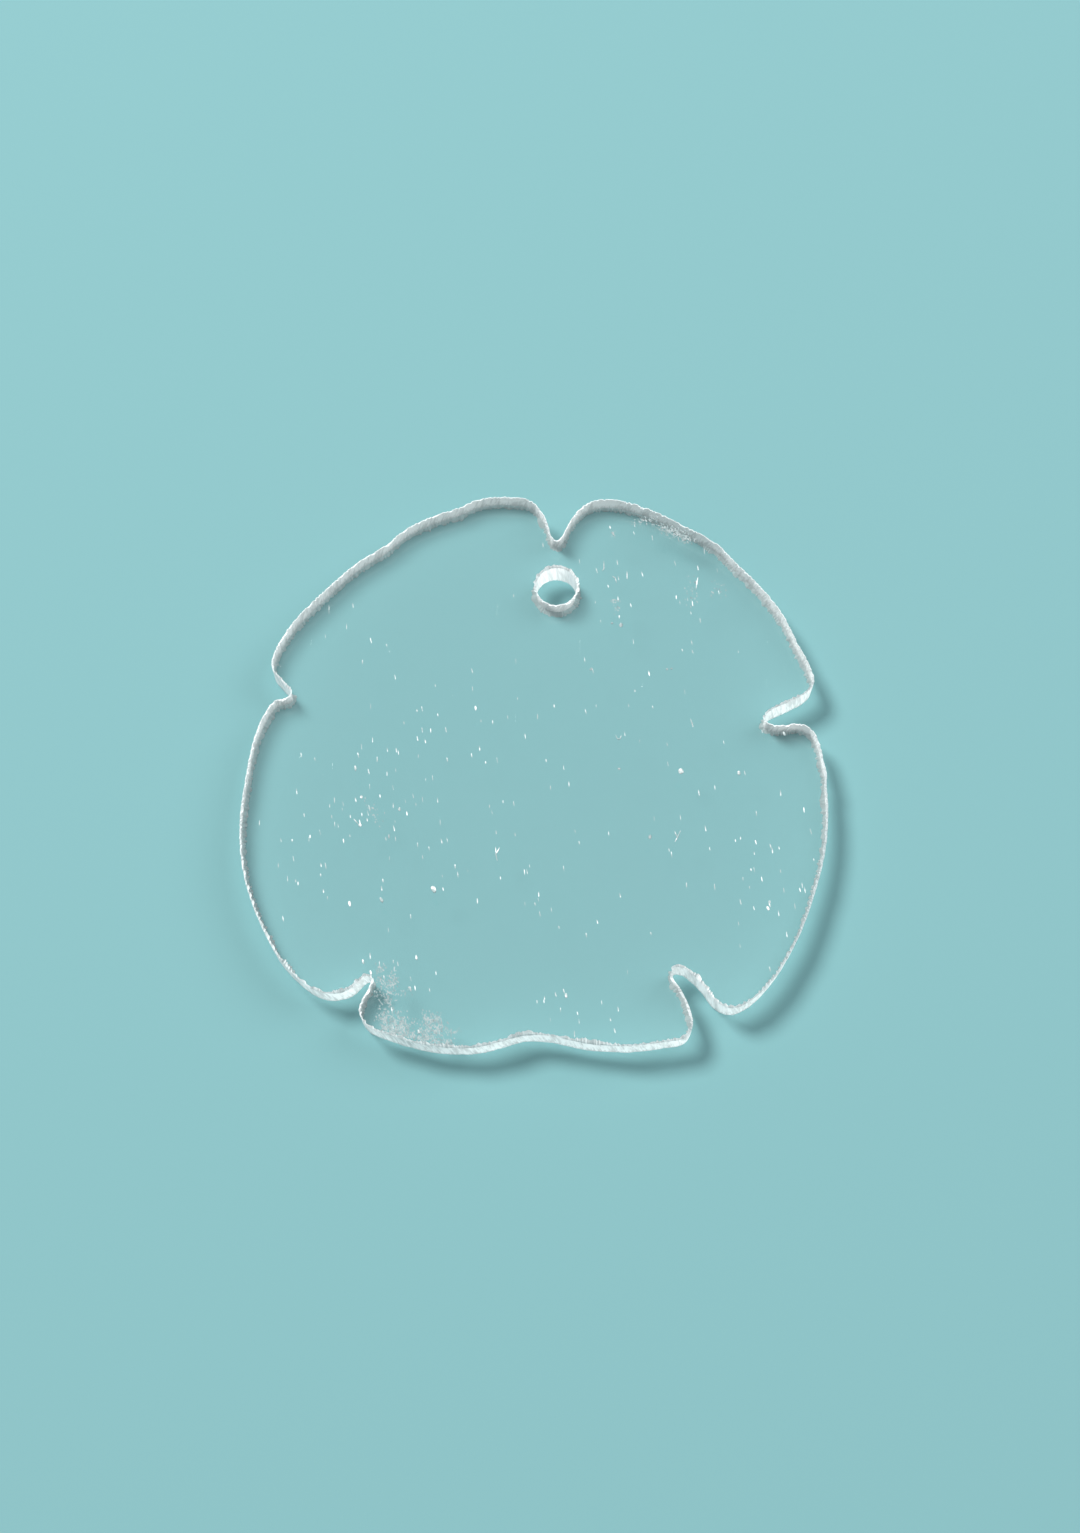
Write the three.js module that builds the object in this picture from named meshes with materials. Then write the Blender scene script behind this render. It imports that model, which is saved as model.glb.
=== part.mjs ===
// A flat ornament blank: clear acrylic sheet sawn by hand to the outline of a
// notched sand dollar, with one drilled hole near the top notch for a cord.
//
// Frame: millimetres, +Z up, the plate lying on its underside at z = 0.
// +Y points to the notch beside the hole, +X to the right seen from above.

import * as THREE from 'three';

// Driving dimensions.
const SHEET_THICKNESS = 5.6;
const HOLE_DIAMETER = 6.4;
const HOLE_CENTRE = [3.45, 29.5];

// How finely the curves are stepped.
const STEPS_BETWEEN_POINTS = 6;
const HOLE_STEPS = 60;

const ACRYLIC_COLOUR = 0xdff0f0;
const ACRYLIC_ROUGHNESS = 0.12;

// The rim between the notches, clockwise seen from above. Each lobe is a smooth
// curve through a few points, from one notch's mouth to the next.
const UPPER_RIGHT_LOBE = [
  [5.0, 39.9], [6.4, 42.4], [8.3, 44.3], [11.5, 45.1], [17.0, 44.0], [24.5, 40.2],
  [29.5, 37.1], [32.5, 33.7], [36.0, 30.0], [39.9, 24.3], [41.9, 19.6], [43.5, 16.2],
  [44.3, 12.9], [43.0, 11.1], [39.9, 9.4],
];
const RIGHT_LOBE = [
  [39.2, 5.8], [41.5, 6.0], [43.4, 5.1], [44.7, 2.5], [45.3, -1.3], [45.6, -2.4],
  [45.4, -3.9], [45.4, -8.5], [44.7, -14.8], [42.7, -22.0], [39.7, -29.2], [36.0, -35.0],
  [32.6, -38.3], [29.7, -39.6], [27.3, -38.7], [25.3, -36.1], [23.6, -34.3],
];
const BOTTOM_LOBE = [
  [22.0, -36.5], [23.2, -39.2], [23.7, -42.0], [22.7, -43.9], [19.5, -44.7], [13.0, -45.3],
  [7.0, -44.7], [2.4, -43.8], [-1.8, -43.7], [-4.6, -44.5], [-9.2, -45.5], [-15.5, -45.2],
  [-21.5, -43.7], [-25.2, -42.1], [-26.4, -39.9], [-25.9, -37.9],
];
const LEFT_LOBE = [
  [-26.9, -36.1], [-28.7, -37.1], [-31.5, -37.3], [-34.6, -35.9], [-38.6, -31.8], [-42.2, -25.4],
  [-44.7, -18.5], [-45.6, -11.0], [-45.1, -3.5], [-44.2, 2.7], [-42.6, 7.6], [-41.1, 9.8],
];
const UPPER_LEFT_LOBE = [
  [-40.4, 13.4], [-41.8, 15.2], [-41.6, 17.9], [-39.2, 22.6], [-33.7, 29.0], [-28.6, 33.8],
  [-24.7, 36.5], [-20.6, 40.0], [-16.0, 42.3], [-12.6, 43.5], [-9.2, 45.1], [-4.0, 45.5],
  [-0.6, 44.8], [1.4, 42.4], [2.4, 39.9],
];

// The blind end of each saw cut: where its round end is centred, its radius,
// and the bearing in degrees from +X in which the cut runs into the plate.
const TOP_NOTCH = { centre: [3.5, 38.5], radius: 0.8, bearing: 270 };
const RIGHT_NOTCH = { centre: [37.2, 6.8], radius: 1.0, bearing: 195 };
const LOWER_RIGHT_NOTCH = { centre: [21.7, -34.1], radius: 1.0, bearing: 125 };
const LOWER_LEFT_NOTCH = { centre: [-25.2, -35.1], radius: 0.6, bearing: 50 };
const LEFT_NOTCH = { centre: [-39.1, 11.2], radius: 0.65, bearing: 5 };

// Three points on the round end of a cut, in the order the rim passes them.
function notchEnd({ centre, radius, bearing }) {
  return [-80, 0, 80].map((turn) => {
    const angle = THREE.MathUtils.degToRad(bearing + turn);
    return [centre[0] + radius * Math.cos(angle), centre[1] + radius * Math.sin(angle)];
  });
}

// The whole rim as one closed smooth curve.
function rimCurve() {
  const stations = [
    ...notchEnd(TOP_NOTCH), ...UPPER_RIGHT_LOBE,
    ...notchEnd(RIGHT_NOTCH), ...RIGHT_LOBE,
    ...notchEnd(LOWER_RIGHT_NOTCH), ...BOTTOM_LOBE,
    ...notchEnd(LOWER_LEFT_NOTCH), ...LEFT_LOBE,
    ...notchEnd(LEFT_NOTCH), ...UPPER_LEFT_LOBE,
  ];
  const points = stations.map(([x, y]) => new THREE.Vector3(x, y, 0));
  return new THREE.CatmullRomCurve3(points, true, 'centripetal');
}

// Points round a closed curve, without the last one, which repeats the first.
function loopPoints(curve, steps) {
  const points = curve.getPoints(steps).map((point) => new THREE.Vector2(point.x, point.y));
  points.pop();
  return points;
}

function plateShape() {
  const rim = rimCurve();
  const hole = new THREE.EllipseCurve(...HOLE_CENTRE, HOLE_DIAMETER / 2, HOLE_DIAMETER / 2);
  const shape = new THREE.Shape(loopPoints(rim, rim.points.length * STEPS_BETWEEN_POINTS));
  shape.holes.push(new THREE.Path(loopPoints(hole, HOLE_STEPS)));
  return shape;
}

// The plate, with the middle of its plan box on the Z axis.
function plateGeometry() {
  const geometry = new THREE.ExtrudeGeometry(plateShape(), {
    depth: SHEET_THICKNESS,
    bevelEnabled: false,
  });
  geometry.computeBoundingBox();
  const middle = geometry.boundingBox.getCenter(new THREE.Vector3());
  geometry.translate(-middle.x, -middle.y, 0);
  return geometry;
}

const acrylic = new THREE.MeshStandardMaterial({
  color: ACRYLIC_COLOUR,
  roughness: ACRYLIC_ROUGHNESS,
  metalness: 0,
});

const plate = new THREE.Mesh(plateGeometry(), acrylic);
plate.name = 'plate';

const ornament = new THREE.Group();
ornament.add(plate);

export default ornament;
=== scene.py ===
import math

import bmesh
import bpy
import numpy as np
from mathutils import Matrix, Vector
from mathutils.geometry import tessellate_polygon


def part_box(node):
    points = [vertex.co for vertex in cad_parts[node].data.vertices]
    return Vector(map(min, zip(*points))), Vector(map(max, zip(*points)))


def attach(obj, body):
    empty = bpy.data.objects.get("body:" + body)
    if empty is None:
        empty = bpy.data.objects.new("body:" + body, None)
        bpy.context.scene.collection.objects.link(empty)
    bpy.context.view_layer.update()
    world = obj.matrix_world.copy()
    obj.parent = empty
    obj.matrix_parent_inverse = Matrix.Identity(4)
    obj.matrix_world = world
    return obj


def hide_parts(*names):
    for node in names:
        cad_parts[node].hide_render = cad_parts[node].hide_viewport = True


# Looks for a clear acrylic ornament blank, hand sawn to a notched sand dollar's outline.
# Metres throughout. The plate lies on its underside, and +Y points to the notch by the hole.

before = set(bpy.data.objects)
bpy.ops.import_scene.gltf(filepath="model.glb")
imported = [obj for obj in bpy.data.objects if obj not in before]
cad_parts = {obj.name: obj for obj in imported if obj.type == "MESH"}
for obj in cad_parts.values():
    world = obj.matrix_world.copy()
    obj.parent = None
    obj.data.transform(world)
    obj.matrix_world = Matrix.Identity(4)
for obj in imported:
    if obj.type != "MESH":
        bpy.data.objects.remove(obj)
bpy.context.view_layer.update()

MM = 0.001
BODY = "root"
PLATE_LOW, PLATE_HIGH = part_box("plate")
FLOOR_GAP = 0.1 * MM
FLOOR_REACH = 3.0


# ---------------------------------------------------------------- camera and light

VIEW_TARGET = Vector((0.8 * MM, 0.65 * MM, PLATE_LOW.z))
VIEW_DISTANCE = 317 * MM
VIEW_TILT = math.radians(19.3)
VIEW_LENS = 46.97
NEAREST_SEEN = 5 * MM
SKY_COLOUR = (0.94, 0.97, 1.0, 1)
SKY_STRENGTH = 0.46


def add_object(name, data):
    """A new object at the origin, in the scene."""
    thing = bpy.data.objects.new(name, data)
    bpy.context.scene.collection.objects.link(thing)
    return thing


def aim(thing, place, target):
    """Puts a camera or lamp at a place and turns it to face the target."""
    thing.location = place
    thing.rotation_mode = "QUATERNION"
    thing.rotation_quaternion = (Vector(target) - Vector(place)).to_track_quat("-Z", "Y")


def make_camera():
    lens = bpy.data.cameras.new("camera")
    lens.lens = VIEW_LENS
    lens.clip_start = NEAREST_SEEN
    camera = add_object("camera", lens)
    back = Vector((0, -math.sin(VIEW_TILT), math.cos(VIEW_TILT)))
    aim(camera, VIEW_TARGET + VIEW_DISTANCE * back, VIEW_TARGET)
    bpy.context.scene.camera = camera


def soft_lamp(name, place, size, watts, colour):
    lamp = bpy.data.lights.new(name, "AREA")
    lamp.shape = "DISK"
    lamp.size = size
    lamp.energy = watts
    lamp.color = colour
    aim(add_object(name, lamp), place, (0, 0, 0))


def make_light():
    world = bpy.data.worlds.new("studio")
    world.use_nodes = True
    sky = world.node_tree.nodes["Background"]
    sky.inputs["Color"].default_value = SKY_COLOUR
    sky.inputs["Strength"].default_value = SKY_STRENGTH
    bpy.context.scene.world = world
    soft_lamp(
        "window", place=(-1.26, 1.08, 1.86), size=0.84, watts=80.0, colour=(1.0, 0.99, 0.97),
    )
    soft_lamp(
        "bounce", place=(1.10, 0.55, 1.00), size=1.10, watts=12.0, colour=(0.95, 0.98, 1.0),
    )
    bpy.context.scene.view_settings.view_transform = "Standard"


# ---------------------------------------------------------------- node helpers


def put(tree, kind, inputs=(), **settings):
    """A new node, with its settings, and its inputs set to values or linked to sockets."""
    node = tree.nodes.new(kind)
    for name, value in settings.items():
        setattr(node, name, value)
    for name, value in dict(inputs).items():
        if isinstance(value, bpy.types.NodeSocket):
            tree.links.new(value, node.inputs[name])
        else:
            node.inputs[name].default_value = value
    return node


def calculate(tree, operation, *values):
    return put(tree, "ShaderNodeMath", enumerate(values), operation=operation).outputs[0]


def remap(tree, value, low, high, start=0.0, end=1.0):
    """Value from low to high as start to end, held at both ends and eased between."""
    node = put(tree, "ShaderNodeMapRange", {
        "Value": value, "From Min": low, "From Max": high, "To Min": start, "To Max": end,
    }, interpolation_type="SMOOTHSTEP")
    return node.outputs["Result"]


def stretched_noise(tree, vector, scale, turn=0.0, detail=2.0):
    """Noise whose grain is set apart along each axis by its own scale, per metre."""
    mapping = put(tree, "ShaderNodeMapping", {
        "Vector": vector, "Rotation": (0, 0, turn), "Scale": scale,
    })
    noise = put(tree, "ShaderNodeTexNoise", {
        "Vector": mapping.outputs[0], "Scale": 1.0, "Detail": detail, "Roughness": 0.6,
    })
    return noise.outputs["Fac"]


def start_group(name, inputs, outputs):
    """An empty shader node group, with its input and output nodes."""
    group = bpy.data.node_groups.new(name, "ShaderNodeTree")
    for way, sockets in (("INPUT", inputs), ("OUTPUT", outputs)):
        for socket, kind in sockets:
            group.interface.new_socket(socket, in_out=way, socket_type=kind)
    return group, group.nodes.new("NodeGroupInput"), group.nodes.new("NodeGroupOutput")


def start_material(name):
    material = bpy.data.materials.new(name)
    material.use_nodes = True
    material.node_tree.nodes.clear()
    return material, material.node_tree


def finish_surface(tree, shader):
    put(tree, "ShaderNodeOutputMaterial", {"Surface": shader})


# ---------------------------------------------------------------- shared effects

RIM_MAP = "rim"
BROAD_WEIGHT = 0.75
FINE_WEIGHT = 0.45

# Scratches on a polished face: the turn of each set in radians, and its lines per metre.
# Their lengths, the patches they come in and the smears are set per metre too.
SCRATCHES = [(0.3, 3800.0), (1.45, 3000.0), (2.3, 4600.0)]
SCRATCH_RUN = 90.0
SCRATCH_PATCH = 130.0
SMEAR_SCALE = (60.0, 45.0, 60.0)
SMEAR_TURN = 0.6


def saw_marks_group():
    """Strokes across a cut wall. Rim runs along the wall in X and up it in Y."""
    group, given, made = start_group("saw_marks", [
        ("Rim", "NodeSocketVector"), ("Strokes per Metre", "NodeSocketFloat"),
        ("Dull Tone", "NodeSocketFloat"), ("Fray", "NodeSocketFloat"),
    ], [("Tone", "NodeSocketFloat"), ("Height", "NodeSocketFloat")])
    apart = put(group, "ShaderNodeSeparateXYZ", {0: given.outputs["Rim"]})
    along, up = apart.outputs[0], apart.outputs[1]
    rate = given.outputs["Strokes per Metre"]

    def strokes(times, slant, rise, detail, offset):
        """Noise drawn out up the wall and slanted over it, at so many times the rate."""
        slanted = calculate(group, "MULTIPLY_ADD", up, slant, along)
        across = calculate(group, "MULTIPLY", slanted, calculate(group, "MULTIPLY", rate, times))
        height = calculate(group, "MULTIPLY_ADD", up, rise, offset)
        spot = put(group, "ShaderNodeCombineXYZ", {0: across, 1: height, 2: offset})
        return put(group, "ShaderNodeTexNoise", {
            "Vector": spot.outputs[0], "Scale": 1.0, "Detail": detail, "Roughness": 0.62,
        }).outputs["Fac"]

    broad = strokes(times=0.8, slant=0.10, rise=120.0, detail=3.0, offset=1.7)
    fine = strokes(times=3.2, slant=0.16, rise=260.0, detail=2.0, offset=7.3)
    frayed = strokes(times=2.2, slant=0.0, rise=0.0, detail=2.0, offset=12.1)
    broad_part = calculate(group, "MULTIPLY", broad, BROAD_WEIGHT)
    both = calculate(group, "MULTIPLY_ADD", fine, FINE_WEIGHT, broad_part)
    bright = remap(group, both, low=0.48, high=0.68, start=given.outputs["Dull Tone"], end=1.0)
    # The foot of the wall is dull where the blade broke out, higher up at some strokes.
    ragged = remap(group, frayed, low=0.25, high=0.75, start=0.3, end=1.9)
    reach = calculate(group, "MULTIPLY", given.outputs["Fray"], ragged)
    above = calculate(group, "DIVIDE", up, reach)
    core = remap(group, above, low=0.7, high=1.3, start=0.55, end=1.0)
    group.links.new(calculate(group, "MULTIPLY", bright, core), made.inputs["Tone"])
    group.links.new(both, made.inputs["Height"])
    return group


def handling_group():
    """Faint scratches and smears on a polished face, from plan coordinates."""
    group, given, made = start_group("handling_marks", [
        ("Place", "NodeSocketVector"),
    ], [("Tone", "NodeSocketFloat"), ("Height", "NodeSocketFloat")])
    place = given.outputs["Place"]
    lines = None
    for turn, across in SCRATCHES:
        scratch_scale = (across, SCRATCH_RUN, SCRATCH_RUN)
        grain = stretched_noise(group, place, scratch_scale, turn, detail=1.0)
        patch = stretched_noise(group, place, (SCRATCH_PATCH,) * 3, turn * 2, detail=1.0)
        sharp = remap(group, grain, low=0.74, high=0.80)
        here = remap(group, patch, low=0.52, high=0.66)
        thin = calculate(group, "MULTIPLY", sharp, here)
        lines = thin if lines is None else calculate(group, "MAXIMUM", lines, thin)
    smear = stretched_noise(group, place, SMEAR_SCALE, SMEAR_TURN, detail=4.0)
    group.links.new(remap(group, smear, low=0.35, high=0.75), made.inputs["Tone"])
    group.links.new(lines, made.inputs["Height"])
    return group


SAW_MARKS = saw_marks_group()
HANDLING = handling_group()


# ---------------------------------------------------------------- materials

ACRYLIC_IOR = 1.49
FLOOR_COLOUR = (0.172, 0.345, 0.36, 1)

# How far a wall's normals lean up, or down when below zero: on its inside, and for the light
# that comes through it.
INNER_LEAN = 1.0
THROUGH_LEAN = -1.3

# The heights between which the inside of a wall goes from painted highlight, palest,
# to painted shade, dullest.
PAINTED_HIGHLIGHT_HEIGHT = PLATE_HIGH.z - 1.8 * MM
PAINTED_SHADE_HEIGHT = PLATE_HIGH.z - 4.6 * MM

# How much shadow a wall lets by, from a low height to a high one: outside, and inside.
OUTSIDE_LEAK = {"low": 0.2 * MM, "high": 3.8 * MM, "start": 0.8, "end": 0.0}
INSIDE_LEAK = {"low": 0.0, "high": 5.4 * MM, "start": 0.0, "end": 1.0}
DUST_LEAK = 0.75


def blend_colour(tree, factor, dull, bright):
    """From the dull colour to the bright one, which are sockets 6 and 7 of a colour mix."""
    ends = {0: factor, 6: (*dull, 1), 7: (*bright, 1)}
    return put(tree, "ShaderNodeMix", ends, data_type="RGBA").outputs[2]


def lean_normal(tree, normal, lift):
    """A normal tipped up or down before the light falls on it."""
    push = put(tree, "ShaderNodeCombineXYZ", {2: lift}).outputs[0]
    tipped = put(tree, "ShaderNodeVectorMath", {0: normal, 1: push}, operation="ADD")
    even = put(tree, "ShaderNodeVectorMath", {0: tipped.outputs[0]}, operation="NORMALIZE")
    return even.outputs[0]


def floor_material():
    material, tree = start_material("pale_floor")
    paint = put(tree, "ShaderNodeBsdfPrincipled", {
        "Base Color": FLOOR_COLOUR,
        "Roughness": 0.9,
        "Specular IOR Level": 0.1,
    })
    finish_surface(tree, paint.outputs[0])
    return material


def clear_acrylic():
    """The polished faces. Soft light passes straight through them, with a little lost."""
    material, tree = start_material("clear_acrylic")
    place = put(tree, "ShaderNodeTexCoord").outputs["Object"]
    marks = put(tree, "ShaderNodeGroup", {"Place": place}, node_tree=HANDLING)
    tint = blend_colour(
        tree, marks.outputs["Tone"], dull=(0.986, 0.997, 0.996), bright=(0.992, 1.0, 0.999),
    )
    bump = put(tree, "ShaderNodeBump", {
        "Height": marks.outputs["Height"], "Strength": 0.25, "Distance": 0.02 * MM,
    })
    glass = put(tree, "ShaderNodeBsdfPrincipled", {
        "Base Color": tint,
        "Roughness": 0.0,
        "IOR": ACRYLIC_IOR,
        "Transmission Weight": 1.0,
        "Normal": bump.outputs[0],
    })
    path = put(tree, "ShaderNodeLightPath")
    direct, mirrored = path.outputs["Is Camera Ray"], path.outputs["Is Singular Ray"]
    seen = calculate(tree, "MAXIMUM", direct, mirrored)
    lit = put(tree, "ShaderNodeBsdfTransparent", {"Color": (0.95, 0.965, 0.965, 1)})
    both = put(tree, "ShaderNodeMixShader", {0: seen, 1: lit.outputs[0], 2: glass.outputs[0]})
    finish_surface(tree, both.outputs[0])
    return material


def cut_acrylic(name, dull, bright, marks, glow, inner_glow, inner_painted_highlight, inner_painted_shade):
    """A ground or broken surface, bright with the light that reaches it through the plate.

    Glow is the share of the light that comes from behind the surface. The inner values are
    for the surface as it is seen from inside the plate: its glow, how much painted highlight
    pales its colour along its top edge, and how much painted shade dulls it along its foot.
    """
    material, tree = start_material(name)
    rim = put(tree, "ShaderNodeUVMap", uv_map=RIM_MAP).outputs[0]
    cuts = put(tree, "ShaderNodeGroup", {"Rim": rim, **marks}, node_tree=SAW_MARKS)
    height = put(tree, "ShaderNodeSeparateXYZ", {0: rim}).outputs[1]
    inward = put(tree, "ShaderNodeNewGeometry").outputs["Backfacing"]
    # Seen from inside the plate, the colour is painted paler towards the top edge and darker
    # towards the foot: painted highlight and painted shade, on top of the saw marks.
    change = remap(tree, height, PAINTED_HIGHLIGHT_HEIGHT, PAINTED_SHADE_HEIGHT, inner_painted_highlight, -inner_painted_shade)
    inner_painted_light = calculate(tree, "MULTIPLY_ADD", inward, change, 1.0)
    paleness = calculate(tree, "MULTIPLY", cuts.outputs["Tone"], inner_painted_light)
    tone = blend_colour(tree, paleness, dull, bright)
    bump = put(tree, "ShaderNodeBump", {
        "Height": cuts.outputs["Height"], "Strength": 0.6, "Distance": 0.12 * MM,
    })
    # Most of the light inside comes down through the top face, so the inside leans to it.
    lift = calculate(tree, "MULTIPLY", inward, INNER_LEAN)
    ground = put(tree, "ShaderNodeBsdfPrincipled", {
        "Base Color": tone,
        "Roughness": 0.55,
        "IOR": ACRYLIC_IOR,
        "Transmission Weight": 0.15,
        "Normal": lean_normal(tree, bump.outputs[0], lift),
    })
    through = put(tree, "ShaderNodeBsdfTranslucent", {
        "Color": tone, "Normal": lean_normal(tree, bump.outputs[0], THROUGH_LEAN),
    })
    share = put(tree, "ShaderNodeMix", {0: inward, 2: glow, 3: inner_glow}).outputs[0]
    cut = put(tree, "ShaderNodeMixShader", {0: share, 1: ground.outputs[0], 2: through.outputs[0]})
    # Light leaves low on a wall, so the shadow outside is palest beside it. It bends down as
    # it comes in at the top face, so the shadow inside is darkest beside the wall.
    outside = remap(tree, height, **OUTSIDE_LEAK)
    inside = remap(tree, height, **INSIDE_LEAK)
    leak = put(tree, "ShaderNodeMix", {0: inward, 2: outside, 3: inside}).outputs[0]
    path = put(tree, "ShaderNodeLightPath")
    let_by = calculate(tree, "MULTIPLY", path.outputs["Is Shadow Ray"], leak)
    let = put(tree, "ShaderNodeBsdfTransparent", {"Color": (0.97, 0.98, 0.98, 1)})
    whole = put(tree, "ShaderNodeMixShader", {0: let_by, 1: cut.outputs[0], 2: let.outputs[0]})
    finish_surface(tree, whole.outputs[0])
    return material


def plate_materials():
    grey = (0.38, 0.41, 0.41)
    white = (0.94, 0.96, 0.96)
    sawn = {"Strokes per Metre": 1200.0, "Dull Tone": 0.52, "Fray": 0.9 * MM}
    drilled = {"Strokes per Metre": 1500.0, "Dull Tone": 0.60, "Fray": 0.6 * MM}
    chipped = {"Strokes per Metre": 2600.0, "Dull Tone": 0.50, "Fray": 0.01 * MM}
    # Each wall's inner values below paint a highlight along the top of its inside and shade along
    # its foot.
    return [
        clear_acrylic(),
        cut_acrylic(
            "sawn_wall", grey, white, sawn,
            glow=0.62, inner_glow=0.20, inner_painted_highlight=0.32, inner_painted_shade=0.25,
        ),
        cut_acrylic(
            "chipped_edge", grey, white, chipped,
            glow=0.18, inner_glow=0.60, inner_painted_highlight=0.15, inner_painted_shade=0.60,
        ),
        cut_acrylic(
            "drilled_wall", grey, white, drilled,
            glow=0.75, inner_glow=0.28, inner_painted_highlight=0.0, inner_painted_shade=0.30,
        ),
    ]


def dust_material(name, dull, bright, grain, dullest, brightest):
    """Matt specks whose paleness changes from one to the next. They throw little shadow."""
    material, tree = start_material(name)
    place = put(tree, "ShaderNodeTexCoord").outputs["Object"]
    noise = stretched_noise(tree, place, (grain, grain, grain))
    tone = remap(tree, noise, dullest, brightest)
    paint = put(tree, "ShaderNodeBsdfPrincipled", {
        "Base Color": blend_colour(tree, tone, dull, bright),
        "Roughness": 0.8,
        "Specular IOR Level": 0.3,
    })
    path = put(tree, "ShaderNodeLightPath")
    share = calculate(tree, "MULTIPLY", path.outputs["Is Shadow Ray"], DUST_LEAK)
    let = put(tree, "ShaderNodeBsdfTransparent")
    whole = put(tree, "ShaderNodeMixShader", {0: share, 1: paint.outputs[0], 2: let.outputs[0]})
    finish_surface(tree, whole.outputs[0])
    return material


# ---------------------------------------------------------------- the plate

CLEAR, SAWN, CHIPPED, DRILLED = range(4)
MERGE_GAP = 0.001 * MM
FACES_UP = 0.9
RIM_STEP = 0.12 * MM
EASING_PASSES = 12
LEAST_KNOTS = 4
PLATE_SEED = 11

# Rows of points down a wall, and how far along it a stroke has moved at the foot.
WALL_ROWS = 14
STROKE_SLIDE = 0.9 * MM

# Wavelengths of the strokes on a wall, with the weight of each, and of its wander.
STROKE_BANDS = [(0.45 * MM, 0.4), (1.1 * MM, 0.6)]
WANDER_WAVE = 6 * MM

# How deep the strokes and the wander are.
RIM_DEPTHS = (0.05 * MM, 0.06 * MM)
HOLE_DEPTHS = (0.03 * MM, 0.03 * MM)

# Wavelengths of the chips along an edge and of its bites, and the level where a bite starts.
CHIP_WAVE = 0.42 * MM
BITE_WAVE = 2.6 * MM
BITE_LEVEL = 0.5

# The ring between a face and its wall, as shares of the chip's width: in, and from the face.
TOP_BREAK = (0.4, 0.5)
LOW_BREAK = (0.5, 0.2)

# Where the rows of a wall start and end, as shares of the chip's width from the face.
WALL_START = 0.95
WALL_END = 0.5

# How many strips of faces are broken, next to the top face and next to the underside.
BROKEN_STRIPS = 2

# Broken edges: least width, how ragged, and how much further in the worst bites go.
RIM_TOP_CHIPS = (0.24 * MM, 0.34 * MM, 0.6 * MM)
RIM_LOW_CHIPS = (0.40 * MM, 0.45 * MM, 0.8 * MM)
HOLE_TOP_CHIPS = (0.30 * MM, 0.30 * MM, 0.3 * MM)
HOLE_LOW_CHIPS = (0.65 * MM, 0.40 * MM, 0.4 * MM)


def top_loops(node):
    """The closed loops round a CAD plate's top face, as plan points, the longest first."""
    solid = bmesh.new()
    solid.from_mesh(node.data)
    bmesh.ops.remove_doubles(solid, verts=solid.verts, dist=MERGE_GAP)
    follows = {}
    for face in solid.faces:
        for loop in face.loops:
            beyond = loop.link_loop_radial_next.face
            if face.normal.z > FACES_UP and beyond.normal.z < FACES_UP:
                follows[loop.vert.index] = loop.link_loop_next.vert.index
    spots = {v.index: (v.co.x, v.co.y) for v in solid.verts}
    solid.free()
    loops = []
    while follows:
        here = next(iter(follows))
        chain = []
        while here in follows:
            chain.append(spots[here])
            here = follows.pop(here)
        loops.append(np.array(chain))
    return sorted(loops, key=len, reverse=True)


def even_loop(points):
    """The same closed loop in even steps with its corners eased, and its length."""
    closed = np.vstack([points, points[:1]])
    steps = np.linalg.norm(np.diff(closed, axis=0), axis=1)
    reach = np.concatenate([[0], np.cumsum(steps)])
    count = round(reach[-1] / RIM_STEP)
    stations = np.arange(count) * reach[-1] / count
    even = np.stack([np.interp(stations, reach, closed[:, axis]) for axis in (0, 1)], 1)
    for _ in range(EASING_PASSES):
        even = (np.roll(even, 1, 0) + 2 * even + np.roll(even, -1, 0)) / 4
    return even, reach[-1]


def outward(loop):
    """Unit vectors out of the material, to the right of the way round."""
    along = np.roll(loop, -1, 0) - np.roll(loop, 1, 0)
    side = np.stack([along[:, 1], -along[:, 0]], 1)
    return side / np.linalg.norm(side, axis=1)[:, None]


class Ripple:
    """A smooth random curve round a closed loop, from -1 to 1, with about one wavelength."""

    def __init__(self, dice, length, wavelength):
        self.knots = max(LEAST_KNOTS, round(length / wavelength))
        self.values = dice.uniform(-1, 1, self.knots)
        self.length = length

    def at(self, distance):
        spot = np.asarray(distance) / self.length * self.knots
        low = np.floor(spot).astype(int)
        blend = spot - low
        blend = blend * blend * (3 - 2 * blend)
        left = self.values[low % self.knots]
        right = self.values[(low + 1) % self.knots]
        return left * (1 - blend) + right * blend


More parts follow.
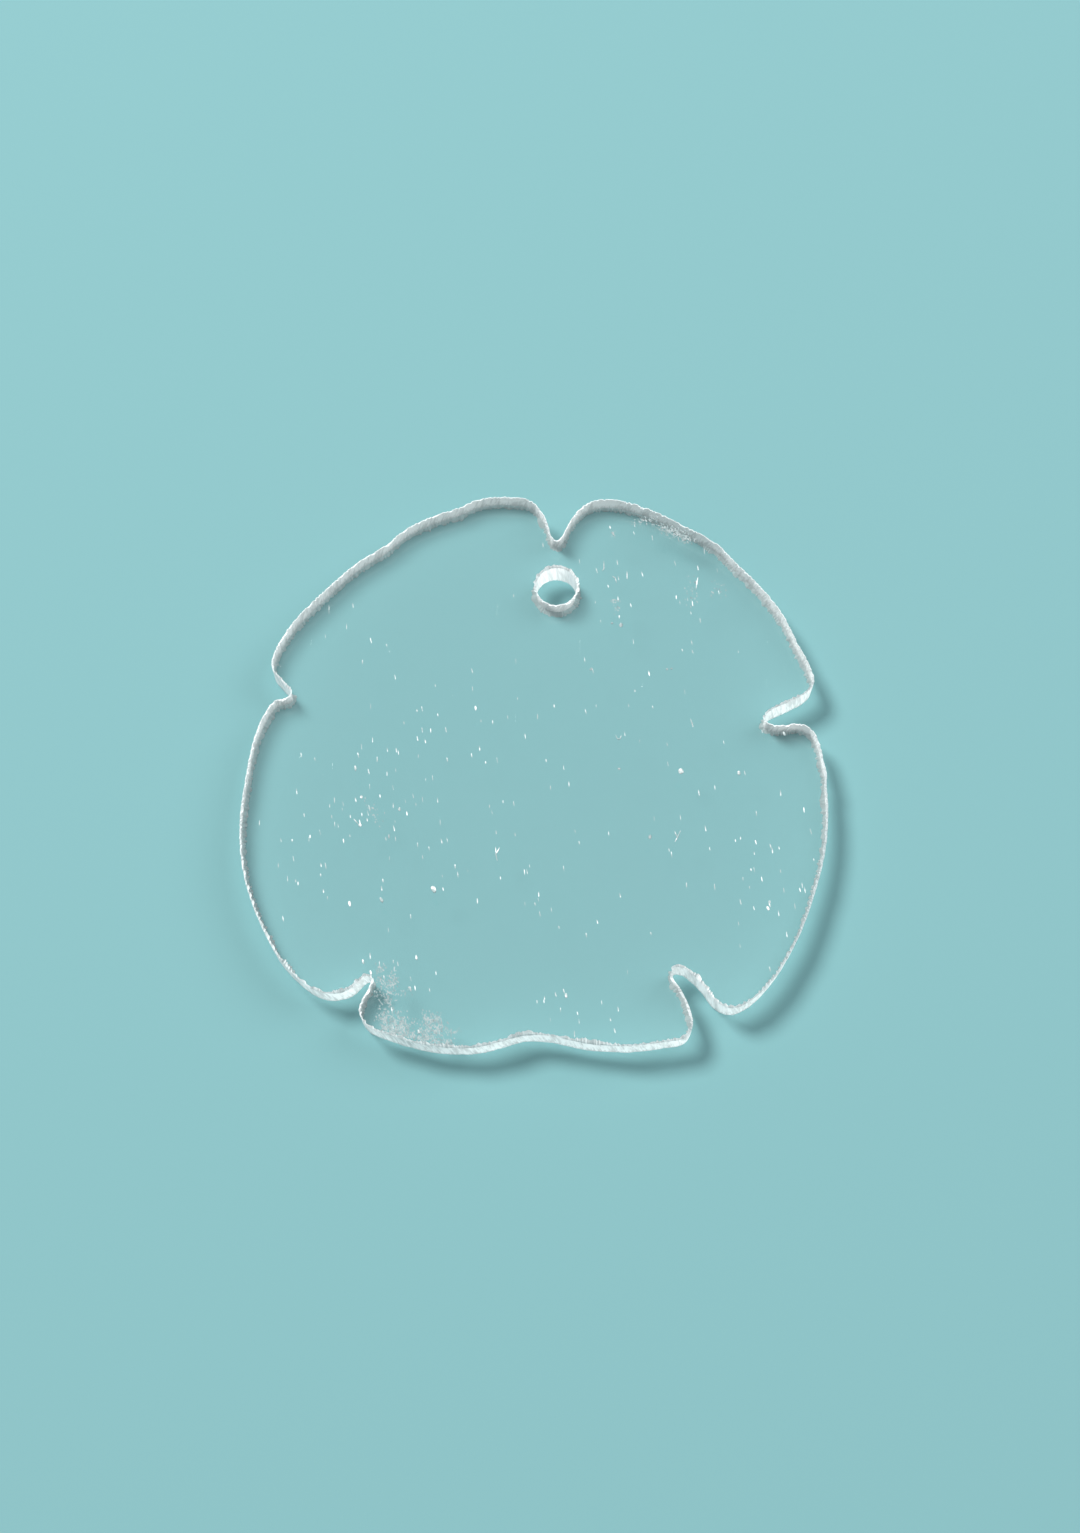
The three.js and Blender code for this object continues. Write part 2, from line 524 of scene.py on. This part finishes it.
class CutWall:
    """The wall round one loop, as rings of points from the top face to the underside."""

    def __init__(self, outline, dice, top_chip, low_chip, stroke_depth, wander_depth):
        self.loop, self.length = even_loop(outline)
        self.count = len(self.loop)
        self.distance = np.arange(self.count) * self.length / self.count
        self.out = outward(self.loop)
        self.rings = []
        top = self.chips(dice, *top_chip)
        low = self.chips(dice, *low_chip)
        self.ring(-top, PLATE_HIGH.z)
        self.ring(-TOP_BREAK[0] * top, PLATE_HIGH.z - TOP_BREAK[1] * top)
        self.cut_rows(dice, WALL_START * top, WALL_END * low, stroke_depth, wander_depth)
        self.ring(-LOW_BREAK[0] * low, PLATE_LOW.z + LOW_BREAK[1] * low)
        self.ring(-low, PLATE_LOW.z)

    def chips(self, dice, width, ragged, bite):
        """How far in from the wall the face is broken, all the way round."""
        jag = np.abs(Ripple(dice, self.length, CHIP_WAVE).at(self.distance))
        run = Ripple(dice, self.length, BITE_WAVE).at(self.distance)
        return width + ragged * jag + bite * np.clip(run - BITE_LEVEL, 0, 1)

    def ring(self, push, height):
        spots = self.loop + self.out * np.broadcast_to(push, self.count)[:, None]
        self.rings.append(np.column_stack([spots, np.broadcast_to(height, self.count)]))

    def cut_rows(self, dice, top_drop, low_rise, stroke_depth, wander_depth):
        """Rows down the wall, with strokes that lean a little and change on the way."""
        strokes = [
            [Ripple(dice, self.length, wave) for _ in range(3)] for wave, _ in STROKE_BANDS
        ]
        wander = wander_depth * (Ripple(dice, self.length, WANDER_WAVE).at(self.distance) - 1)
        for row in range(WALL_ROWS):
            share = row / (WALL_ROWS - 1)
            slid = self.distance + STROKE_SLIDE * share
            half = min(int(share * 2), 1)
            blend = share * 2 - half
            marks = 0
            for ripples, (_, weight) in zip(strokes, STROKE_BANDS):
                upper, lower = ripples[half].at(slid), ripples[half + 1].at(slid)
                marks = marks + weight * (upper * (1 - blend) + lower * blend)
            height = (PLATE_HIGH.z - top_drop) * (1 - share) + (PLATE_LOW.z + low_rise) * share
            self.ring(wander + stroke_depth * (marks - 1), height)

    def faces(self, start, slot):
        """(corner indices, rim map corners, material slots, smooth or not) for the quads."""
        here = np.arange(self.count)
        after = (here + 1) % self.count
        begin = self.distance
        end = np.append(self.distance[1:], self.length)
        strips = list(zip(self.rings, self.rings[1:]))
        for k, (upper, lower) in enumerate(strips):
            over = start + k * self.count
            under = over + self.count
            corners = np.stack([over + here, under + here, under + after, over + after], 1)
            spread = np.stack([begin, begin, end, end], 1)
            rise = np.stack([upper[here, 2], lower[here, 2], lower[after, 2], upper[after, 2]], 1)
            is_wall = BROKEN_STRIPS <= k < len(strips) - BROKEN_STRIPS
            yield corners, np.stack([spread, rise], 2), slot if is_wall else CHIPPED, is_wall


def face_triangles(rings, upward):
    """(corner numbers, plan points) of the triangles between the rings of a polished face."""
    index = np.concatenate([first + np.arange(len(ring)) for first, ring in rings])
    flat = np.vstack([ring for _, ring in rings])
    for triangle in tessellate_polygon([[Vector(p) for p in ring] for _, ring in rings]):
        a, b, c = (flat[i] for i in triangle)
        faces_up = np.cross(b - a, c - a)[2] > 0
        turned = triangle if faces_up == upward else triangle[::-1]
        yield [int(index[i]) for i in turned], flat[list(turned), :2]


def build_plate():
    """The closed plate, two polished faces joined by two cut walls, and its walls' outlines."""
    dice = np.random.default_rng(PLATE_SEED)
    rim, hole = top_loops(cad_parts["plate"])[:2]
    walls = [
        (CutWall(rim, dice, RIM_TOP_CHIPS, RIM_LOW_CHIPS, *RIM_DEPTHS), SAWN),
        (CutWall(hole, dice, HOLE_TOP_CHIPS, HOLE_LOW_CHIPS, *HOLE_DEPTHS), DRILLED),
    ]
    points, faces, uvs, slots, smooth = [], [], [], [], []
    tops, feet = [], []
    start = 0
    for wall, slot in walls:
        for corners, spread, surface, is_wall in wall.faces(start, slot):
            faces += corners.tolist()
            uvs.append(spread.reshape(-1, 2))
            slots += [surface] * wall.count
            smooth += [is_wall] * wall.count
        points += wall.rings
        tops.append((start, wall.rings[0]))
        feet.append((start + (len(wall.rings) - 1) * wall.count, wall.rings[-1]))
        start += len(wall.rings) * wall.count
    for rings, upward in ((tops, True), (feet, False)):
        for corners, spots in face_triangles(rings, upward):
            faces.append(corners)
            uvs.append(spots)
            slots.append(CLEAR)
            smooth.append(False)
    mesh = bpy.data.meshes.new("clear_plate")
    mesh.from_pydata(np.vstack(points).tolist(), [], faces)
    mesh.polygons.foreach_set("material_index", slots)
    mesh.polygons.foreach_set("use_smooth", smooth)
    mesh.uv_layers.new(name=RIM_MAP).data.foreach_set("uv", np.vstack(uvs).ravel())
    mesh.update()
    for material in plate_materials():
        mesh.materials.append(material)
    return add_object("clear_plate", mesh), [wall.loop for wall, _ in walls]


# ---------------------------------------------------------------- what lies on the plate

BIT_HEIGHT = 0.03 * MM
CROWD = "crowd"
THINNEST_CROWD = 0.01

# Crowd sheets: the size of a square, the margin kept from an edge, and the seed.
FLECK_SHEET = {"cell": 1.0 * MM, "margin": 1.3 * MM, "seed": 21}
GRAIN_SHEET = {"cell": 0.3 * MM, "margin": 0.45 * MM, "seed": 35}
PALE_BITS_SEED = 18
GREY_BITS_SEED = 9

# Larger bits: how uneven their outline is, and how far up from its middle a bit is lifted.
BIT_UNEVENNESS = (0.75, 1.1)
BIT_LIFT = 0.4

# Drifts of settled specks: plan centre and spread in mm, and about how many lie there.
FLECK_DRIFTS = [
    (-26, -10, 6, 6, 34), (-37, -19, 3, 5, 9), (-14, 2, 9, 8, 22), (-12, -12, 6, 6, 13),
    (27, 30, 3, 3, 6), (22, 23, 3, 3, 7), (12, 36, 3, 3, 6), (11, 28, 2, 3, 5),
    (-1, 27, 4, 3, 7), (-31, 22, 3, 3, 6), (37, -20, 4, 5, 13), (32, -14, 3, 4, 6),
    (34, -29, 3, 4, 7), (22, -13, 2, 2, 5), (3, -39, 2, 2, 7), (10, -41, 2, 1.5, 5),
    (-20, -36, 4, 3, 7), (-20, -29, 4, 4, 7), (2, -24, 3, 3, 5), (21, 13, 3, 3, 4),
    (0, 0, 26, 26, 80),
]

# Greyer grains, listed the same way: along the upper right rim, down the right of the
# hole, a trail on the left, and broken bits round the lower left notch.
GRAIN_DRIFTS = [
    (17.9, 41.0, 1.1, 0.40, 50), (20.9, 39.7, 0.9, 0.35, 50), (22.2, 39.1, 0.7, 0.35, 50),
    (23.5, 38.3, 0.7, 0.35, 55), (24.9, 37.5, 0.6, 0.35, 40),
    (12.8, 26.8, 0.6, 0.25, 14), (13.0, 25.4, 0.35, 0.4, 12), (25.3, 29.0, 0.7, 1.6, 28),
    (29.4, 28.9, 0.9, 1.0, 20), (23.0, 25.0, 1.6, 2.0, 16), (12.6, 38.6, 0.25, 0.5, 9),
    (-26.3, -7.0, 0.3, 0.6, 7), (-25.2, -8.3, 0.5, 0.5, 9), (-24.3, -9.8, 0.7, 0.8, 16),
    (-23.2, -33.9, 0.35, 0.7, 34), (-23.2, -35.2, 0.3, 0.5, 16), (-22.9, -36.6, 0.5, 0.9, 42),
    (-21.2, -35.2, 0.45, 0.8, 48), (-21.6, -36.9, 0.5, 0.7, 26), (-21.9, -38.5, 0.5, 0.8, 46),
    (-22.4, -41.0, 0.7, 0.7, 70), (-20.8, -41.6, 1.2, 0.8, 150), (-19.6, -42.4, 0.7, 0.7, 60),
    (-15.6, -41.4, 0.8, 0.8, 110), (-14.4, -42.3, 0.8, 0.8, 100), (-15.6, -43.0, 1.4, 0.4, 80),
    (-12.2, -43.1, 0.8, 0.5, 26), (-20.0, -37.5, 1.6, 2.0, 24),
    (-22.3, -42.7, 0.6, 0.3, 50), (-21.0, -43.1, 0.7, 0.3, 70), (-19.5, -43.5, 0.7, 0.3, 70),
    (-18.0, -43.9, 0.7, 0.3, 60), (-16.5, -44.2, 0.7, 0.3, 70), (-15.0, -44.5, 0.7, 0.3, 64),
    (-13.3, -44.6, 0.7, 0.3, 46),
]

# Single larger bits: plan centre, width and length in mm, and lean to the left in degrees.
PALE_BITS = [
    (22.7, -2.1, 0.95, 0.95, 0), (-15.4, -21.1, 0.75, 1.25, 25), (31.7, -2.4, 0.5, 0.85, 5),
    (-27.9, -1.6, 0.4, 0.95, 10), (-28.1, -23.4, 0.4, 0.95, 8), (-23.3, -22.8, 0.5, 0.95, 25),
    (-9.3, 8.4, 0.35, 0.8, 5), (-20.9, -8.3, 0.4, 0.65, 10), (35.4, -24.1, 0.45, 0.8, 20),
    (39.0, 4.1, 0.4, 0.9, 15), (4.7, -37.6, 0.4, 0.9, 5), (-26.9, -10.9, 0.55, 0.6, 20),
    (-26.8, -6.3, 0.5, 0.6, 20), (-17.8, -31.8, 0.3, 0.9, 8), (-18.6, -36.6, 0.35, 0.8, 15),
    (-24.6, -34.1, 0.3, 0.8, 12), (-25.8, -32.4, 0.3, 0.8, 12), (-17.2, -43.1, 0.3, 0.8, 18),
]
GREY_BITS = [
    (13.7, 22.6, 0.6, 0.8, -15), (12.3, 22.9, 0.45, 0.35, 0), (8.9, 15.0, 0.6, 0.4, 40),
    (20.9, 15.0, 0.4, 0.4, 0), (21.6, 15.1, 0.4, 0.3, 0), (12.6, 38.7, 0.35, 0.8, 25),
    (13.1, -1.7, 0.5, 0.4, 0), (17.7, -12.8, 0.5, 0.8, 0), (-22.4, -12.7, 0.25, 0.8, 5),
]

# Hairs: plan points in mm along each.
HAIRS = [
    [(-6.0, -14.4), (-5.95, -15.6), (-5.75, -16.6)],
    [(-5.4, -14.5), (-5.9, -15.5)],
    [(21.5, -11.9), (21.9, -12.9)],
    [(22.4, -11.8), (21.9, -12.9), (21.5, -13.6)],
    [(11.1, 33.8), (11.1, 32.4), (10.8, 32.0)],
    [(14.8, 32.0), (14.8, 30.6)],
    [(12.4, 31.1), (12.9, 30.8), (13.1, 29.9)],
    [(12.6, 3.9), (12.9, 3.2), (13.3, 3.2), (13.5, 3.8)],
    [(26.2, 30.9), (25.8, 28.7)],
    [(24.4, 6.6), (24.6, 5.8), (24.8, 5.3)],
    [(-27.9, -9.9), (-27.1, -10.8)],
]

# A hair's tube, and how much of its radius is left at its ends.
HAIR_RADIUS = 0.09 * MM
HAIR_RINGS = 12
HAIR_SIDES = 6
HAIR_TIP = 0.35


def inside_plate(spots, loops, margin):
    """Which plan spots lie on the plate's top face, at least a margin from its edges."""
    inside = np.zeros(len(spots), bool)
    clear = np.ones(len(spots), bool)
    x, y = spots[:, :1], spots[:, 1:]
    for loop in loops:
        ax, ay = loop[:, 0], loop[:, 1]
        bx, by = np.roll(ax, -1), np.roll(ay, -1)
        slope = (bx - ax) / np.where(by == ay, 1, by - ay)
        crossed = ((ay > y) != (by > y)) & (x < ax + slope * (y - ay))
        inside ^= crossed.sum(axis=1) % 2 == 1
        clear &= np.hypot(x - ax, y - ay).min(axis=1) > margin
    return inside & clear


def crowd_sheet(name, drifts, loops, cell, margin, seed):
    """Small squares over the plate that each say how many bits fall on a square metre."""
    across = np.arange(PLATE_LOW.x, PLATE_HIGH.x, cell)
    up = np.arange(PLATE_LOW.y, PLATE_HIGH.y, cell)
    spots = np.stack(np.meshgrid(across, up), -1).reshape(-1, 2) + cell / 2
    dice = np.random.default_rng(seed)
    crowd = np.zeros(len(spots))
    for x, y, wide, long, count in drifts:
        away = (spots - np.array([x, y]) * MM) / (np.array([wide, long]) * MM)
        spread = math.tau * wide * long * MM ** 2
        crowd += count * np.exp(-(away ** 2).sum(axis=1) / 2) / spread
    keep = crowd > THINNEST_CROWD * crowd.max()
    keep[keep] = inside_plate(spots[keep], loops, margin)
    spots = spots[keep]
    crowd = crowd[keep] * dice.uniform(0, 2, keep.sum())
    corners = np.array([(-1, -1), (1, -1), (1, 1), (-1, 1)]) * cell / 2
    plan = (spots[:, None] + corners).reshape(-1, 2)
    height = np.full(len(plan), PLATE_HIGH.z + BIT_HEIGHT / 2)
    points = np.column_stack([plan, height])
    squares = np.arange(len(plan)).reshape(-1, 4)
    mesh = bpy.data.meshes.new(name)
    mesh.from_pydata(points.tolist(), [], squares.tolist())
    mesh.attributes.new(CROWD, "FLOAT", "FACE").data.foreach_set("value", crowd)
    return add_object(name, mesh)


def strewn_bits_tree():
    """Geometry nodes that strew small rounded bits over a crowd sheet."""
    tree = bpy.data.node_groups.new("strewn_bits", "GeometryNodeTree")
    for name, kind in [
        ("Sheet", "NodeSocketGeometry"), ("Seed", "NodeSocketInt"),
        ("Smallest", "NodeSocketVector"), ("Largest", "NodeSocketVector"),
        ("Least Lean", "NodeSocketFloat"), ("Most Lean", "NodeSocketFloat"),
        ("Material", "NodeSocketMaterial"),
    ]:
        tree.interface.new_socket(name, in_out="INPUT", socket_type=kind)
    tree.interface.new_socket("Bits", in_out="OUTPUT", socket_type="NodeSocketGeometry")
    given = tree.nodes.new("NodeGroupInput").outputs
    crowd = put(tree, "GeometryNodeInputNamedAttribute", {"Name": CROWD}, data_type="FLOAT")
    points = put(tree, "GeometryNodeDistributePointsOnFaces", {
        "Mesh": given["Sheet"], "Density": crowd.outputs[0], "Seed": given["Seed"],
    })
    bit = put(tree, "GeometryNodeMeshUVSphere", {"Segments": 8, "Rings": 5, "Radius": 0.5})
    size = put(tree, "FunctionNodeRandomValue", {
        0: given["Smallest"], 1: given["Largest"], "Seed": given["Seed"],
    }, data_type="FLOAT_VECTOR")
    lean = put(tree, "FunctionNodeRandomValue", {
        2: given["Least Lean"], 3: given["Most Lean"], "Seed": given["Seed"],
    }, data_type="FLOAT")
    turn = put(tree, "ShaderNodeCombineXYZ", {2: lean.outputs[1]})
    rotation = put(tree, "FunctionNodeEulerToRotation", {0: turn.outputs[0]})
    placed = put(tree, "GeometryNodeInstanceOnPoints", {
        "Points": points.outputs["Points"], "Instance": bit.outputs["Mesh"],
        "Rotation": rotation.outputs[0], "Scale": size.outputs[0],
    })
    real = put(tree, "GeometryNodeRealizeInstances", {0: placed.outputs[0]})
    coated = put(tree, "GeometryNodeSetMaterial", {
        "Geometry": real.outputs[0], "Material": given["Material"],
    })
    put(tree, "NodeGroupOutput", {0: coated.outputs[0]})
    return tree


def strew(tree, sheet, values):
    """Runs the strewing tree on a sheet, and leaves the bits as a plain mesh."""
    modifier = sheet.modifiers.new("strewn", "NODES")
    modifier.node_group = tree
    for item in tree.interface.items_tree:
        if item.in_out == "INPUT" and item.name in values:
            modifier[item.identifier] = values[item.name]
    depsgraph = bpy.context.evaluated_depsgraph_get()
    bits = bpy.data.meshes.new_from_object(sheet.evaluated_get(depsgraph), depsgraph=depsgraph)
    sheet.modifiers.clear()
    sheet.data = bits
    return sheet


def mesh_object(name, solid, material):
    """An object from closed lumps in a bmesh, with its faces turned outward."""
    bmesh.ops.recalc_face_normals(solid, faces=solid.faces)
    mesh = bpy.data.meshes.new(name)
    solid.to_mesh(mesh)
    solid.free()
    mesh.polygons.foreach_set("use_smooth", [True] * len(mesh.polygons))
    mesh.materials.append(material)
    return add_object(name, mesh)


def large_bits(name, bits, seed, material):
    """Single larger bits, as flattened lumps of uneven shape."""
    dice = np.random.default_rng(seed)
    solid = bmesh.new()
    for x, y, wide, long, lean in bits:
        lump = bmesh.ops.create_icosphere(solid, subdivisions=2, radius=0.5)["verts"]
        turn = math.radians(lean)
        for vertex in lump:
            vertex.co *= dice.uniform(*BIT_UNEVENNESS)
            across, along = vertex.co.x * wide * MM, vertex.co.y * long * MM
            vertex.co.z = PLATE_HIGH.z + (vertex.co.z + BIT_LIFT) * 2 * BIT_HEIGHT
            vertex.co.x = x * MM + across * math.cos(turn) - along * math.sin(turn)
            vertex.co.y = y * MM + across * math.sin(turn) + along * math.cos(turn)
    return mesh_object(name, solid, material)


def hairs(material):
    """Fine hairs lying on the top face, as closed tubes that taper to their ends."""
    solid = bmesh.new()
    sides = np.linspace(0, math.tau, HAIR_SIDES, endpoint=False)
    for points in HAIRS:
        stations = np.linspace(0, len(points) - 1, HAIR_RINGS)
        axes = [np.interp(stations, range(len(points)), axis) for axis in zip(*points)]
        plan = np.stack(axes, 1) * MM
        way = np.gradient(plan, axis=0)
        way /= np.linalg.norm(way, axis=1)[:, None]
        rings = []
        for spot, along, share in zip(plan, way, np.linspace(0, 1, HAIR_RINGS)):
            radius = HAIR_RADIUS * (HAIR_TIP + (1 - HAIR_TIP) * math.sin(math.pi * share))
            rings.append([solid.verts.new((
                spot[0] - along[1] * radius * math.cos(side),
                spot[1] + along[0] * radius * math.cos(side),
                PLATE_HIGH.z + HAIR_RADIUS + radius * math.sin(side),
            )) for side in sides])
        for near, far in zip(rings, rings[1:]):
            for k in range(len(sides)):
                after = (k + 1) % len(sides)
                solid.faces.new((near[k], near[after], far[after], far[k]))
        solid.faces.new(rings[0][::-1])
        solid.faces.new(rings[-1])
    return mesh_object("lint_hairs", solid, material)


def build_dust(loops):
    pale = dust_material(
        "pale_dust", dull=(0.34, 0.42, 0.42), bright=(1.0, 1.0, 1.0),
        grain=900.0, dullest=0.42, brightest=0.70,
    )
    grey = dust_material(
        "grey_dust", dull=(0.20, 0.27, 0.275), bright=(0.34, 0.405, 0.41),
        grain=1500.0, dullest=0.3, brightest=0.6,
    )
    tree = strewn_bits_tree()
    fleck_sheet = crowd_sheet("dust_flecks", FLECK_DRIFTS, loops, **FLECK_SHEET)
    grain_sheet = crowd_sheet("residue_grains", GRAIN_DRIFTS, loops, **GRAIN_SHEET)
    flecks = strew(tree, fleck_sheet, {
        "Seed": 3,
        "Smallest": (0.08 * MM, 0.50 * MM, BIT_HEIGHT),
        "Largest": (0.20 * MM, 1.15 * MM, BIT_HEIGHT),
        "Least Lean": math.radians(1),
        "Most Lean": math.radians(16),
        "Material": pale,
    })
    grains = strew(tree, grain_sheet, {
        "Seed": 8,
        "Smallest": (0.10 * MM, 0.14 * MM, BIT_HEIGHT),
        "Largest": (0.24 * MM, 0.44 * MM, BIT_HEIGHT),
        "Least Lean": math.radians(-20),
        "Most Lean": math.radians(40),
        "Material": grey,
    })
    return [
        flecks, grains, hairs(pale),
        large_bits("pale_bits", PALE_BITS, PALE_BITS_SEED, pale),
        large_bits("grey_bits", GREY_BITS, GREY_BITS_SEED, grey),
    ]


def build_floor():
    """A plain square floor, just far enough below the plate that they share no surface."""
    mesh = bpy.data.meshes.new("floor")
    height = PLATE_LOW.z - FLOOR_GAP
    corners = [(-1, -1), (1, -1), (1, 1), (-1, 1)]
    spots = [(x * FLOOR_REACH, y * FLOOR_REACH, height) for x, y in corners]
    mesh.from_pydata(spots, [], [(0, 1, 2, 3)])
    mesh.materials.append(floor_material())
    return add_object("floor", mesh)


# ---------------------------------------------------------------- scene

make_camera()
make_light()
build_floor()

plate, edges = build_plate()
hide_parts("plate")
for piece in [plate, *build_dust(edges)]:
    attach(piece, BODY)
